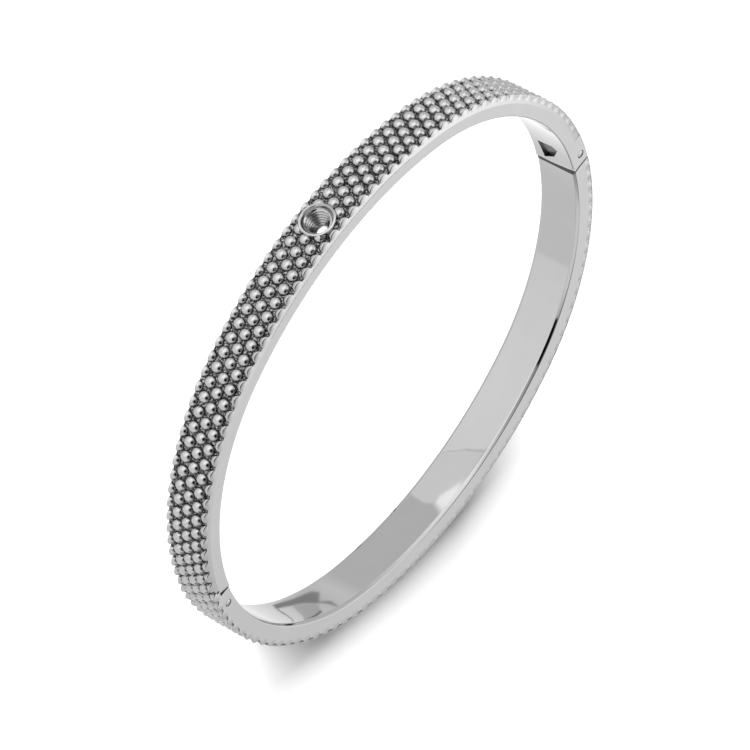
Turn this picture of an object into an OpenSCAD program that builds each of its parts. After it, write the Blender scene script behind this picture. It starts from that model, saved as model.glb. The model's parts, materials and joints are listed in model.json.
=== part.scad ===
/* [Oval] */
// Inside length, along the line from joint to joint
inner_length = 60; // [57:0.5:66]
// Inside width, across that line
inner_width = 50.8; // [50:0.2:53]
// How much the inside width is more than twice the radius of the round ends
side_rise = 1.2; // [1:0.1:1.4]

/* [Band] */
// Width of the band, from one side face to the other
band_w = 5.2; // [5:0.1:5.4]
// Thickness of the plain inner band
wall = 1.5; // [1.45:0.05:1.6]

/* [Studs] */
// Depth of the studded strip's ground, measured out from the inner wall
ground = 2; // [1.95:0.05:2.1]
// Radius of one round stud
stud_r = 0.7; // [0.6:0.02:0.72]
// Depth of a stud's centre
stud_depth = 1.88; // [1.84:0.01:1.92]
// Studs in one row, all the way round
studs_per_row = 114; // [110:1:116]
// Distance between two rows
row_step = 1.235; // [1.2:0.005:1.24]
// Shift from one row to the next, as a part of the pitch
row_shift = 0.4; // [0.38:0.01:0.5]

/* [Screw seat] */
// Nominal radius of the thread
thread_r = 1.25; // [1.1:0.05:1.3]
// Outer radius of the seat's rim
rim_r = 1.97; // [1.9:0.01:2]
// Thickness of the rim's edge
rim_w = 0.24; // [0.18:0.02:0.3]
// Turn of the seat away from the middle of the upper half, in degrees
seat_turn = -0.5; // [-1:0.1:1]

/* [Hinge] */
// Distance of the hinge pin below the line of the oval's long axis
hinge_drop = 1.65; // [1.6:0.05:1.7]
// Depth of the hinge pin's centre
hinge_depth = 1.58; // [1.55:0.01:1.6]
// Radius of the hinge pin
hinge_pin_r = 0.46; // [0.42:0.01:0.48]
// Radius of the knuckle round the pin
knuckle_r = 0.85; // [0.82:0.01:0.86]
// Width of the knuckle
knuckle_w = 2.5; // [2.2:0.1:2.6]

/* [Clasp] */
// Depth of the catch pin's centre
catch_depth = 1.08; // [1.04:0.01:1.1]
// Radius of the catch pin
catch_pin_r = 0.5; // [0.46:0.01:0.52]
// Height of the clasp's joint above the long axis, at the inner wall
clasp_rise = 1.82; // [1.78:0.02:1.9]
// Width of the tongue
tongue_w = 2; // [1.8:0.1:2.2]
// Thickness of the tongue
tongue_t = 0.7; // [0.6:0.02:0.72]

/* [Hidden] */
$fn = 48;

// The inner wall is an oval of four arcs: two round ends and two flatter sides
half_l = inner_length / 2;
half_w = inner_width / 2;
end_r = half_w - side_rise;
end_x = half_l - end_r;
side_r = (end_x * end_x + half_w * half_w - end_r * end_r) / (2 * (half_w - end_r));
side_y = side_r - half_w;
join_angle = atan2(side_y, end_x);
big = 100;
gap = 0.03;
slack = 0.04;
crossing = 0.01;

// The path that the studs' centres follow, measured from the middle of the upper half
deg = 180 / PI;
half_side = (side_r + stud_depth) * (90 - join_angle) / deg;
full_end = (end_r + stud_depth) * 2 * join_angle / deg;
path = 4 * half_side + 2 * full_end;
pitch = path / studs_per_row;
rows = [-2, -1, 0, 1, 2];
root_depth = stud_depth - (wall + gap) - 0.05;

// The hinge pin and the joint beside it
hinge_x = end_x + sqrt(pow(end_r + hinge_depth, 2) - hinge_drop * hinge_drop);
upper_end = -hinge_drop - 1.45;
lower_end = upper_end - 0.24;
block_top = 0.9;
block_depth = 2.45;
block_root = 0.5;
block_inset = 0.02;
slot_top = 0.25;
slot_w = knuckle_w + 0.2;
web = 0.4;
neck_depth = 0.5;
neck_t = 0.7;
neck_root = 2.4;
relief_depth = 0.42;
relief_len = 1.9;
relief_turn = 5.5;

// The corners of the window in the hinge's inner web: height along the band, then across it
window = [[0.2, 1.35], [-2.35, 1.6], [-1.95, 2.36], [-0.25, 3.45]];

// The catch pin and the joint beside it
catch_x = end_x + end_r + catch_depth;
upper_tilt = 17;
lower_tilt = 10;
clasp_gap = 0.07;
tongue_depth = 0.45;
tongue_root = 2.2;
tongue_tip = catch_pin_r + 0.12;
mouth_floor = -2;

// The seat's inner bore narrows to the thread below its smooth bowl
bowl_depth = 1.8;
rim_top = 2.6;
collar_r = 1.72;

// The filled oval, grown by a depth. Its ends are a hair wider than tangent, so that the arcs cross
module oval(depth, low, high) {
    join_x = end_x + (end_r + depth) * cos(join_angle);
    translate([0, 0, low]) intersection() {
        translate([0, -side_y, -1]) cylinder(h = high - low + 2, r = side_r + depth, $fn = 240);
        translate([0, side_y, -1]) cylinder(h = high - low + 2, r = side_r + depth, $fn = 240);
        union() {
            translate([-join_x, -big / 2, 0]) cube([2 * join_x, big, high - low]);
            for (x = [-end_x, end_x])
                translate([x, 0, 0])
                    cylinder(h = high - low, r = end_r + depth + crossing, $fn = 240);
        }
    }
}

// A ring that follows the oval from one depth to another
module oval_ring(from_depth, to_depth, low, high) {
    difference() {
        oval(to_depth, low, high);
        oval(from_depth, low - 1, high + 1);
    }
}

// A short piece of the round end, at the hinge when side is 1 and at the clasp when it is -1
module end_piece(side, from_y, to_y, depth, thick, low, high) {
    middle = end_r + depth + thick / 2;
    mirror([side < 0 ? 1 : 0, 0, 0]) translate([end_x, 0, 0])
        rotate([0, 0, asin(from_y / middle)])
            rotate_extrude(angle = asin(to_y / middle) - asin(from_y / middle), $fn = 240)
                translate([end_r + depth, low]) square([thick, high - low]);
}

// All that is below the hinge's joint, or the clasp's, on its own side of the bangle
module below_hinge(height) {
    translate([0, height - big, -big / 2]) cube([big, big, big]);
}
module below_clasp(height, tilt) {
    translate([-half_l, height, -big / 2]) rotate([0, 0, -tilt])
        translate([-half_l, -big, 0]) cube([4 * half_l, big, big]);
}

// The two halves of the whole space, for the band's pieces of each half
module take_upper(hinge_height) {
    difference() {
        children();
        below_hinge(hinge_height);
        below_clasp(clasp_rise + clasp_gap, upper_tilt);
    }
}
module take_lower() {
    intersection() {
        children();
        union() {
            below_hinge(lower_end);
            below_clasp(clasp_rise, lower_tilt);
        }
    }
}

// A pin hole that runs right through the band
module pin_hole(x, y, r) {
    translate([x, y, -1]) cylinder(h = band_w + 2, r = r + slack);
}

module at_seat() {
    translate([0, -side_y, band_w / 2]) rotate([0, 0, seat_turn])
        translate([0, side_r, 0]) rotate([-90, 0, 0]) children();
}

// The block that holds the hinge pin fills the band out to the studs' height
module hinge_block() {
    end_piece(1, upper_end - 1, block_top, block_root, block_depth - block_root,
        block_inset, band_w - block_inset);
}
module hinge_slot() {
    middle = band_w / 2;
    end_piece(1, upper_end - 1, slot_top, web, 3, middle - slot_w / 2, middle + slot_w / 2);
    translate([half_l - 2, 0, 0]) rotate([90, 0, 90])
        linear_extrude(3) polygon(window);
}
// The lead-in at the block's end is deepest at the near face and runs out towards the far one
module hinge_relief() {
    wall_x = end_x + sqrt(end_r * end_r - upper_end * upper_end);
    translate([wall_x + relief_depth, upper_end, band_w]) rotate([0, relief_turn, 0])
        rotate([0, 0, atan2(relief_depth, relief_len)])
            translate([-2, -relief_len, -band_w * 2]) cube([2, relief_len * 2, band_w * 3]);
}

module upper_band() {
    color("silver") difference() {
        take_upper(upper_end) union() {
            oval_ring(0, wall, 0, band_w);
            hinge_block();
        }
        hinge_slot();
        hinge_relief();
        pin_hole(hinge_x, -hinge_drop, hinge_pin_r);
        at_seat() translate([0, 0, -1]) cylinder(h = wall + 2, r = collar_r + slack);
        end_piece(-1, clasp_rise - 1, clasp_rise + tongue_root + gap, tongue_depth - gap,
            tongue_t + 2 * gap, band_w / 2 - tongue_w / 2 - gap, band_w / 2 + tongue_w / 2 + gap);
    }
}

module lower_band() {
    middle = band_w / 2;
    color("silver") difference() {
        take_lower() oval_ring(0, wall, 0, band_w);
        end_piece(1, lower_end - neck_root - gap, lower_end + 1, neck_depth - gap,
            neck_t + 2 * gap, middle - knuckle_w / 2 - gap, middle + knuckle_w / 2 + gap);
        end_piece(-1, mouth_floor, clasp_rise + 1, 0.3, 1,
            middle - tongue_w / 2 - 0.15, middle + tongue_w / 2 + 0.15);
        pin_hole(-catch_x, 0, catch_pin_r);
    }
}

// Where a place on the studs' path lies: the arc's centre, its radius and the direction
function on_path(s) =
    s < half_side ? [0, -side_y, side_r, 90 + s / (side_r + stud_depth) * deg]
    : s < half_side + full_end
        ? [-end_x, 0, end_r, 180 - join_angle + (s - half_side) / (end_r + stud_depth) * deg]
    : s < 3 * half_side + full_end
        ? [0, side_y, side_r, 180 + join_angle + (s - half_side - full_end) / (side_r + stud_depth) * deg]
    : s < 3 * half_side + 2 * full_end
        ? [end_x, 0, end_r, -join_angle + (s - 3 * half_side - full_end) / (end_r + stud_depth) * deg]
    : [0, -side_y, side_r, join_angle + (s - 3 * half_side - 2 * full_end) / (side_r + stud_depth) * deg];
function spot(p, depth) = [p[0] + (p[2] + depth) * cos(p[3]), p[1] + (p[2] + depth) * sin(p[3])];
function along(i, row) = ((i + row_shift * row + studs_per_row) % studs_per_row) * pitch;

// One stud: a ball that stands on a short root sunk in the strip
module stud() {
    rotate_extrude($fn = 24) intersection() {
        circle(stud_r);
        translate([0, -root_depth]) square([stud_r, stud_r + root_depth]);
    }
}

// The studs whose centres lie in a part of the ring, above or below a height on each side
module studs(upper, hinge_height) {
    for (row = rows, i = [0 : studs_per_row - 1]) {
        p = on_path(along(i, row));
        c = spot(p, stud_depth);
        limit = c[0] > 0 ? hinge_height : clasp_rise;
        if (upper ? c[1] > limit - stud_r : c[1] < limit + stud_r)
            translate([c[0], c[1], band_w / 2 + row * row_step])
                rotate([0, 0, p[3] - 90]) rotate([-90, 0, 0]) stud();
    }
}

module strip(upper, hinge_height) {
    intersection() {
        union() {
            oval_ring(wall + gap, ground, -1, band_w + 1);
            studs(upper, hinge_height);
        }
        translate([-big / 2, -big / 2, 0]) cube([big, big, band_w]);
    }
}

module upper_studs() {
    color("gainsboro") difference() {
        take_upper(block_top + gap) strip(true, block_top + gap);
        at_seat() translate([0, 0, wall - 1]) cylinder(h = 4, r = rim_r + slack);
    }
}

module lower_studs() {
    color("gainsboro") difference() {
        take_lower() strip(false, lower_end);
        pin_hole(-catch_x, 0, catch_pin_r);
    }
}

module screw_seat() {
    color("lightgray") at_seat() rotate_extrude() polygon([[thread_r, 0.06],
        [collar_r, 0.06], [collar_r, wall + gap], [rim_r, wall + gap], [rim_r, rim_top - 0.06],
        [rim_r - 0.06, rim_top], [rim_r - rim_w, rim_top], [rim_r - rim_w - 0.05, rim_top - 0.12],
        [thread_r + 0.2, bowl_depth + 0.08], [thread_r, bowl_depth]]);
}

module hinge_pin() {
    color("darkgray") translate([hinge_x, -hinge_drop, gap])
        cylinder(h = band_w - 2 * gap, r = hinge_pin_r);
}

// The knuckle turns on the hinge pin; its neck is seated in the lower half
module hinge_knuckle() {
    low = band_w / 2 - knuckle_w / 2;
    color("darkgray") difference() {
        union() {
            translate([hinge_x, -hinge_drop, low]) cylinder(h = knuckle_w, r = knuckle_r);
            end_piece(1, lower_end - neck_root, -hinge_drop, neck_depth, neck_t, low, low + knuckle_w);
        }
        pin_hole(hinge_x, -hinge_drop, hinge_pin_r);
    }
}

module catch_pin() {
    color("darkgray") translate([-catch_x, 0, gap])
        cylinder(h = band_w - 2 * gap, r = catch_pin_r);
}

// The tongue enters the mouth of the lower half and stops just above the catch pin
module clasp_tongue() {
    color("darkgray") end_piece(-1, tongue_tip, clasp_rise + tongue_root, tongue_depth, tongue_t,
        band_w / 2 - tongue_w / 2, band_w / 2 + tongue_w / 2);
}

upper_band();
lower_band();
upper_studs();
lower_studs();
screw_seat();
hinge_pin();
hinge_knuckle();
catch_pin();
clasp_tongue();
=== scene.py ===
"""A slim oval hinged bangle, studded outside, with an empty screw seat, that lies on its side."""

import json
import logging
import math
from dataclasses import dataclass
from enum import Enum
from typing import Any, Callable, Optional, Sequence

import bmesh
import bpy
from mathutils import Matrix, Vector

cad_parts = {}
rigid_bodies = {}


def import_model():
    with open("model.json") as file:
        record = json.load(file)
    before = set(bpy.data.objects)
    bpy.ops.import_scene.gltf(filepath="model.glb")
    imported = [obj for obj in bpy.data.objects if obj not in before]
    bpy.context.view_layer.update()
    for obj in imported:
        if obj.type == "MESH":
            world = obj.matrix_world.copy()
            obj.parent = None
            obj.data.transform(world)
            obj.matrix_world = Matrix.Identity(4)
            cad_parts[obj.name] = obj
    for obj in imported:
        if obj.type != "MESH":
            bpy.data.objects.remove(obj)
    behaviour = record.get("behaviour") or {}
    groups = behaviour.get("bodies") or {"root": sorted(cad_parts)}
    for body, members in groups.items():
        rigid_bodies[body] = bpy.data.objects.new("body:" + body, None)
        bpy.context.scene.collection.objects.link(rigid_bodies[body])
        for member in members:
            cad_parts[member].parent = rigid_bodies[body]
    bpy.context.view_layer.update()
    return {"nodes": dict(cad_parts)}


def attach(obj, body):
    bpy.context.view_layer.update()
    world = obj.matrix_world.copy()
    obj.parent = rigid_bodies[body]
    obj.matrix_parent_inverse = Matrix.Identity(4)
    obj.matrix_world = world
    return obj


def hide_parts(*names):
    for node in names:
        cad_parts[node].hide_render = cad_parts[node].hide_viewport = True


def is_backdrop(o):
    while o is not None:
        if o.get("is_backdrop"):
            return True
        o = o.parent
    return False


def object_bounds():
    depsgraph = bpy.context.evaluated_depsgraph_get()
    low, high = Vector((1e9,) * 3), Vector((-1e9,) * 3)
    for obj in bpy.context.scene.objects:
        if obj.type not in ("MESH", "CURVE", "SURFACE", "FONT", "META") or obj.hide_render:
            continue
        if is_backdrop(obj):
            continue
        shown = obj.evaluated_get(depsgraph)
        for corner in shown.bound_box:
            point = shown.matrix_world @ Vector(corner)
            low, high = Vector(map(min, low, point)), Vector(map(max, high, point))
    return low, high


LOG = logging.getLogger("bangle")
MM = 0.001
FULL_TURN = 2 * math.pi
SHARP = 35.0
Profile = Sequence[tuple[float, float]]
Shape = bmesh.types.BMesh
Piece = bpy.types.Object
Socket = bpy.types.NodeSocket
Rule = Callable[[Vector, Vector], float]
SOCKET_KINDS = {
    int: "Int", float: "Float", tuple: "Vector", Piece: "Object", bpy.types.Material: "Material"}
PEG_SIDES = 64


class Half(Enum):
    """The two halves of the bangle, named as the bodies that they ride on."""

    UPPER = "upper_half"
    LOWER = "lower_half"


@dataclass(frozen=True)
class Oval:
    """The inner wall's outline: two round ends and two flatter sides, tangent where they meet."""

    half_length: float = 30.0 * MM
    half_width: float = 25.4 * MM
    side_rise: float = 1.2 * MM

    @property
    def end_r(self) -> float:
        """Radius of a round end."""
        return self.half_width - self.side_rise

    @property
    def end_x(self) -> float:
        """Distance of a round end's centre from the middle."""
        return self.half_length - self.end_r

    @property
    def side_r(self) -> float:
        """Radius of a flatter side."""
        square = self.end_x ** 2 + self.half_width ** 2 - self.end_r ** 2
        return square / (2 * (self.half_width - self.end_r))

    @property
    def side_y(self) -> float:
        """Distance of a flatter side's centre from the middle."""
        return self.side_r - self.half_width

    @property
    def join(self) -> float:
        """Direction, in radians, in which a round end meets a side."""
        return math.atan2(self.side_y, self.end_x)

    def arc(self, turn: float) -> tuple[Vector, float]:
        """Finds the arc that faces a direction.

        Args:
            turn: direction of the wall's outward normal, in radians from +X.

        Returns:
            The arc's centre and its radius at the inner wall.
        """
        turn = math.remainder(turn, FULL_TURN)
        if abs(turn) < self.join:
            return Vector((self.end_x, 0, 0)), self.end_r
        if abs(turn) > math.pi - self.join:
            return Vector((-self.end_x, 0, 0)), self.end_r
        return Vector((0, -self.side_y if turn > 0 else self.side_y, 0)), self.side_r

    def point(self, turn: float, depth: float, height: float = 0.0) -> Vector:
        """Finds a point beside the wall.

        Args:
            turn: direction of the wall's outward normal, in radians from +X.
            depth: distance out from the inner wall.
            height: height over the side face that the bangle rests on.

        Returns:
            The point.
        """
        centre, radius = self.arc(turn)
        reach = radius + depth
        return centre + Vector((reach * math.cos(turn), reach * math.sin(turn), height))

    def beside(self, place: Vector) -> tuple[float, float, float]:
        """Finds a point from the centre of the arc that faces it.

        Args:
            place: the point.

        Returns:
            Its X and Y from that centre, and the arc's radius.
        """
        along = abs(place.x) - self.end_x
        if math.atan2(abs(place.y), along) < self.join:
            return math.copysign(along, place.x), place.y, self.end_r
        return place.x, place.y + math.copysign(self.side_y, place.y), self.side_r

    def outward(self, place: Vector) -> Vector:
        """Gives the wall's outward direction at a point beside it."""
        x, y, _ = self.beside(place)
        return Vector((x, y, 0)).normalized()

    def depth(self, place: Vector) -> float:
        """Tells how far out from the inner wall a point lies."""
        x, y, radius = self.beside(place)
        return math.hypot(x, y) - radius


@dataclass(frozen=True)
class Layout:
    """The sizes that more than one piece of the bangle shares."""

    oval: Oval = Oval()
    band_w: float = 5.2 * MM
    wall: float = 1.5 * MM
    ground: float = 2.0 * MM
    hinge_drop: float = 1.65 * MM
    hinge_depth: float = 1.58 * MM
    upper_end: float = -3.03 * MM
    lower_end: float = -3.21 * MM
    block_top: float = 0.9 * MM
    catch_depth: float = 1.08 * MM
    clasp_rise: float = 1.82 * MM
    clasp_gap: float = 0.15 * MM
    upper_tilt: float = math.radians(20)
    lower_tilt: float = math.radians(10)
    clasp_low: float = 0.7 * MM
    clasp_high: float = 2.9 * MM
    seat_turn: float = math.radians(89.5)
    rim_r: float = 1.97 * MM
    station: float = math.radians(0.5)
    spare: float = 8.0

    def edge_x(self, height: float, depth: float = 0.0) -> float:
        """Gives X, at the hinge's end, of a point at a height along Y and a depth."""
        reach = self.oval.end_r + depth
        return self.oval.end_x + math.sqrt(reach ** 2 - height ** 2)

    @property
    def hinge(self) -> Matrix:
        """Placement whose Z is the hinge pin's axis."""
        across = self.edge_x(self.hinge_drop, self.hinge_depth)
        return Matrix.Translation((across, -self.hinge_drop, 0))

    @property
    def catch(self) -> Matrix:
        """Placement whose Z is the catch pin's axis."""
        return Matrix.Translation((-(self.oval.half_length + self.catch_depth), 0, 0))

    @property
    def at_seat(self) -> Matrix:
        """Placement whose Z runs out along the seat's axis, from the inner wall.

        Returns:
            The placement.
        """
        cos, sin = math.cos(self.seat_turn), math.sin(self.seat_turn)
        spin = Matrix(((sin, 0, cos), (-cos, 0, sin), (0, -1, 0))).to_4x4()
        foot = self.oval.point(self.seat_turn, 0.0, self.band_w / 2)
        return Matrix.Translation(foot) @ spin

    def turns(self, half: Half) -> list[float]:
        """Lists the directions of a half's sections, which run on past the long axis.

        Args:
            half: the half.

        Returns:
            The directions, in radians.
        """
        start = -self.spare if half is Half.UPPER else 180.0 - self.spare
        count = round(math.radians(180.0 + 2 * self.spare) / self.station)
        return [math.radians(start) + k * self.station for k in range(count + 1)]

    def end_turn(self, height: float, depth: float) -> float:
        """Gives the direction, at the +X end, of a point at a height along Y and a depth."""
        return math.asin(height / (self.oval.end_r + depth))


class Bench:
    """Places nodes in a tree and links them."""

    def __init__(self, tree: bpy.types.NodeTree) -> None:
        """Takes the tree that the nodes go into."""
        self.tree = tree

    def node(self, kind: str, feeds: Optional[dict] = None, **settings: Any) -> bpy.types.Node:
        """Adds a node.

        Args:
            kind: Blender's name of the node's type.
            feeds: an input's name or number, to a plain value or another node's socket.
            **settings: the node's own properties.

        Returns:
            The new node.
        """
        made = self.tree.nodes.new(kind)
        for name, value in settings.items():
            setattr(made, name, value)
        for key, value in (feeds or {}).items():
            if isinstance(value, Socket):
                self.tree.links.new(value, made.inputs[key])
            else:
                made.inputs[key].default_value = value
        return made

    def math(self, operation: str, *values: Any) -> Socket:
        """Adds a Math node and gives its result."""
        return self.node("ShaderNodeMath", dict(enumerate(values)), operation=operation).outputs[0]

    def vector(self, operation: str, *values: Any) -> Socket:
        """Adds a Vector Math node and gives its result, a number for a distance or a product."""
        made = self.node("ShaderNodeVectorMath", dict(enumerate(values)), operation=operation)
        return made.outputs["Value" if operation in ("DOT_PRODUCT", "DISTANCE") else "Vector"]

    def mix(self, share: Any, low: Any, high: Any) -> Socket:
        """Adds a node that goes from one number to another by a share, and gives its result."""
        return self.node("ShaderNodeMix", {0: share, 2: low, 3: high}, data_type="FLOAT").outputs[0]

    def fade(self, angle: Any, zero: float, one: float) -> Socket:
        """Adds a node that turns an angle into 0 at one number of degrees and into 1 at another."""
        feeds = {"Value": angle, "From Min": math.radians(zero), "From Max": math.radians(one)}
        return self.node("ShaderNodeMapRange", feeds).outputs["Result"]

    def noise(self, where: Socket, scale: float, detail: float) -> Socket:
        """Adds a noise and gives its value."""
        feeds = {"Vector": where, "Scale": scale, "Detail": detail}
        return self.node("ShaderNodeTexNoise", feeds).outputs["Fac"]

    def sockets(self, kind: str, *names: str, out: bool = False) -> None:
        """Adds named inputs or outputs of one kind to a group.

        Args:
            kind: Blender's name of the sockets' kind.
            *names: their names.
            out: True for outputs.
        """
        for name in names:
            self.tree.interface.new_socket(
                name, in_out="OUTPUT" if out else "INPUT", socket_type=f"NodeSocket{kind}")


@dataclass(frozen=True)
class WearAndPaintedShade:
    """The sizes of the fine wear that every steel has, and the roughness added where shade is painted."""

    streak: tuple = (1.0, 1.0, 0.2)
    fine: float = 2600.0
    broad: float = 260.0
    fleck: float = 5200.0
    cloud: float = 0.08
    recess_rough: float = 0.2
    strength: float = 0.3

    def group(self) -> bpy.types.NodeTree:
        """Builds the shader group that every steel uses, once.

        Returns:
            The group: wear in colour, roughness and normal, and painted shade, a darker tone in recesses,
                gaps and grooves.
        """
        found = bpy.data.node_groups.get("polish")
        if found:
            return found
        group = bpy.data.node_groups.new("polish", "ShaderNodeTree")
        bench = Bench(group)
        bench.sockets("Color", "Tint", "Recess tint")
        bench.sockets("Float", "Recess share", "Flecks", "Roughness", "Grain", "Relief")
        bench.sockets("Color", "Color", out=True)
        bench.sockets("Float", "Roughness", out=True)
        bench.sockets("Vector", "Normal", out=True)
        calc = bench.math
        inlet = bench.node("NodeGroupInput").outputs
        where = bench.node("ShaderNodeTexCoord").outputs["Object"]
        streaks = bench.node("ShaderNodeMapping", {"Vector": where, "Scale": self.streak}).outputs[0]
        fine = bench.noise(streaks, self.fine, 3.0)
        broad = bench.noise(where, self.broad, 2.0)
        flecks = bench.noise(where, self.fleck, 2.0)
        # Painted shade: the mark darkens the tint towards a near black, broken into flecks by noise.
        recess = bench.node("ShaderNodeAttribute", attribute_name="recess").outputs["Fac"]
        deep = calc("MULTIPLY", recess, inlet["Recess share"])
        speckle = calc("MULTIPLY_ADD", calc("SUBTRACT", 0.5, flecks), inlet["Flecks"], 1.0)
        share = calc("MINIMUM", calc("MULTIPLY", deep, speckle), 1.0)
        cloud = calc("MULTIPLY_ADD", broad, self.cloud, 1.0 - self.cloud / 2)
        clouded = bench.node("ShaderNodeVectorMath", {0: inlet["Tint"], "Scale": cloud}, operation="SCALE")
        tone = bench.node(
            "ShaderNodeMix", {0: share, 6: clouded.outputs["Vector"], 7: inlet["Recess tint"]},
            data_type="RGBA").outputs[2]
        worn = calc("MULTIPLY_ADD", fine, inlet["Grain"], inlet["Roughness"])
        rough = calc("MULTIPLY_ADD", share, self.recess_rough, worn)
        height = calc("MULTIPLY", fine, inlet["Relief"])
        bump = bench.node("ShaderNodeBump", {"Strength": self.strength, "Height": height, "Distance": 1.0})
        bench.node("NodeGroupOutput", {"Color": tone, "Roughness": rough, "Normal": bump.outputs["Normal"]})
        return group


def grey(tone: float, blue: float = 1.0) -> tuple[float, float, float, float]:
    """Gives a grey as a colour, with its blue part scaled."""
    return tone, tone, tone * blue, 1.0


def surface(name: str, values: dict[str, Any]) -> bpy.types.Material:
    """Builds a material from plain values.

    Args:
        name: its name.
        values: the surface shader's inputs, to their values.

    Returns:
        The new material.
    """
    made = bpy.data.materials.new(name)
    made.use_nodes = True
    for key, value in values.items():
        made.node_tree.nodes["Principled BSDF"].inputs[key].default_value = value
    return made


@dataclass(frozen=True)
class Steel:
    """A polished steel with fine wear, and painted shade in its recesses, gaps and grooves."""

    name: str
    tint: float = 0.60
    blue: float = 1.005
    roughness: float = 0.05
    grain: float = 0.03
    relief: float = 0.0002 * MM
    # share, tint and flecks of the painted shade that the mark lays on
    recess: float = 1.0
    painted_shade_tint: float = 0.04
    flecks: float = 0.0

    def material(self) -> bpy.types.Material:
        """Builds the finish's material, once.

        Returns:
            The material.
        """
        found = bpy.data.materials.get(self.name)
        if found:
            return found
        made = surface(self.name, {"Metallic": 1.0})
        values = {
            "Tint": grey(self.tint, self.blue), "Recess tint": grey(self.painted_shade_tint),
            "Recess share": self.recess, "Flecks": self.flecks, "Roughness": self.roughness,
            "Grain": self.grain, "Relief": self.relief}
        polish = Bench(made.node_tree).node("ShaderNodeGroup", values, node_tree=WearAndPaintedShade().group())
        shader = made.node_tree.nodes["Principled BSDF"]
        for name, target in (("Color", "Base Color"), ("Roughness", "Roughness"), ("Normal", "Normal")):
            made.node_tree.links.new(polish.outputs[name], shader.inputs[target])
        return made


BAND_STEEL = Steel("band_steel")
# the strip and the studs break their painted shade into noisy flecks
STRIP_STEEL = Steel("strip_steel", flecks=4.4)
STUD_STEEL = Steel("stud_steel", roughness=0.025, grain=0.015, flecks=4.4)
SEAT_STEEL = Steel("seat_steel", roughness=0.11)
PIN_STEEL = Steel("pin_steel", tint=0.58, roughness=0.09)
MATTE = {"Roughness": 1.0, "Specular IOR Level": 0.0}


def placed(name: str, data: Any) -> Piece:
    """Puts a mesh, a camera or a lamp in the scene.

    Args:
        name: the new object's name.
        data: what it shows.

    Returns:
        The new object.
    """
    item = bpy.data.objects.new(name, data)
    bpy.context.scene.collection.objects.link(item)
    return item


def smoothed(mesh: bpy.types.Mesh, sharp: float = SHARP) -> bpy.types.Mesh:
    """Shades a mesh smooth.

    Args:
        mesh: the mesh.
        sharp: angle between two faces, in degrees, from which their edge stays sharp.

    Returns:
        The same mesh.
    """
    mesh.shade_smooth()
    mesh.set_sharp_from_angle(angle=math.radians(sharp))
    return mesh


def to_mesh(name: str, shape: Shape, closed: bool = True) -> bpy.types.Mesh:
    """Turns a shape into a mesh, and frees the shape.

    Args:
        name: the mesh's name.
        shape: the shape.
        closed: True to point its faces outwards first.

    Returns:
        The new mesh.
    """
    if closed:
        bmesh.ops.recalc_face_normals(shape, faces=shape.faces)
    mesh = bpy.data.meshes.new(name)
    shape.to_mesh(mesh)
    shape.free()
    return mesh


def solid(name: str, shape: Shape) -> Piece:
    """Puts a closed shape in the scene."""
    return placed(name, smoothed(to_mesh(name, shape)))


def applied(piece: Piece) -> None:
    """Replaces a piece's mesh by the result of its modifiers, and removes them.

    Args:
        piece: the piece.
    """
    bpy.context.view_layer.update()
    graph = bpy.context.evaluated_depsgraph_get()
    old, piece.data = piece.data, bpy.data.meshes.new_from_object(piece.evaluated_get(graph))
    piece.modifiers.clear()
    bpy.data.meshes.remove(old)


def carved(piece: Piece, shape: Shape) -> None:
    """Takes a closed shape out of a closed piece.

    Args:
        piece: the piece that is changed.
        shape: what is taken away.
    """
    cutter = solid("cutter", shape)
    step = piece.modifiers.new("carve", "BOOLEAN")
    step.operation = "DIFFERENCE"
    step.solver = "EXACT"
    step.object = cutter
    applied(piece)
    smoothed(piece.data)
    bpy.data.objects.remove(cutter)


def skinned(rings: Sequence[Sequence[Vector]], loop: bool = False) -> Shape:
    """Spans faces from ring to ring.

    Args:
        rings: the rings in order, each a closed line of equally many points.
        loop: True to join the last ring to the first, otherwise both ends are closed flat.

    Returns:
        The closed shape.
    """
    shape = bmesh.new()
    rows = [[shape.verts.new(point) for point in ring] for ring in rings]
    for here, there in zip(rows, rows[1:] + rows[:loop]):
        for k in range(len(here)):
            m = (k + 1) % len(here)
            shape.faces.new((here[k], here[m], there[m], there[k]))
    if not loop:
        shape.faces.new(rows[0])
        shape.faces.new(rows[-1][::-1])
    return shape


def swept(oval: Oval, profile: Profile, turns: Sequence[float]) -> Shape:
    """Sweeps a closed profile of depths and heights along the oval, at directions in radians."""
    return skinned([[oval.point(turn, depth, height) for depth, height in profile] for turn in turns])


def rounded(
    corners: Sequence[tuple[float, float, float]], steps: int = 4, guard: float = 0.012 * MM
) -> list[tuple[float, float]]:
    """Rounds the corners of a closed profile.

    Args:
        corners: each corner's two coordinates and the radius of its rounding.
        steps: number of facets in a rounding.
        guard: width of the strip beside a rounding that keeps the flat beyond it flat in its shading.

    Returns:
        The points of the rounded profile.
    """
    points: list[tuple[float, float]] = []
    count = len(corners)
    for i, (x, y, radius) in enumerate(corners):
        if radius <= 0:
            points.append((x, y))
            continue
        here = Vector((x, y))
        before = (Vector(corners[i - 1][:2]) - here).normalized()
        after = (Vector(corners[(i + 1) % count][:2]) - here).normalized()
        half = before.angle(after) / 2
        middle = here + (before + after).normalized() * (radius / math.sin(half))
        first = here + before * (radius / math.tan(half)) - middle
        last = here + after * (radius / math.tan(half)) - middle
        start = math.atan2(first.y, first.x)
        sweep = math.remainder(math.atan2(last.y, last.x) - start, FULL_TURN)
        points.append(tuple(middle + first + before * guard))
        for k in range(steps + 1):
            angle = start + sweep * k / steps
            points.append((middle.x + radius * math.cos(angle), middle.y + radius * math.sin(angle)))
        points.append(tuple(middle + last + after * guard))
    return points


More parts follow.
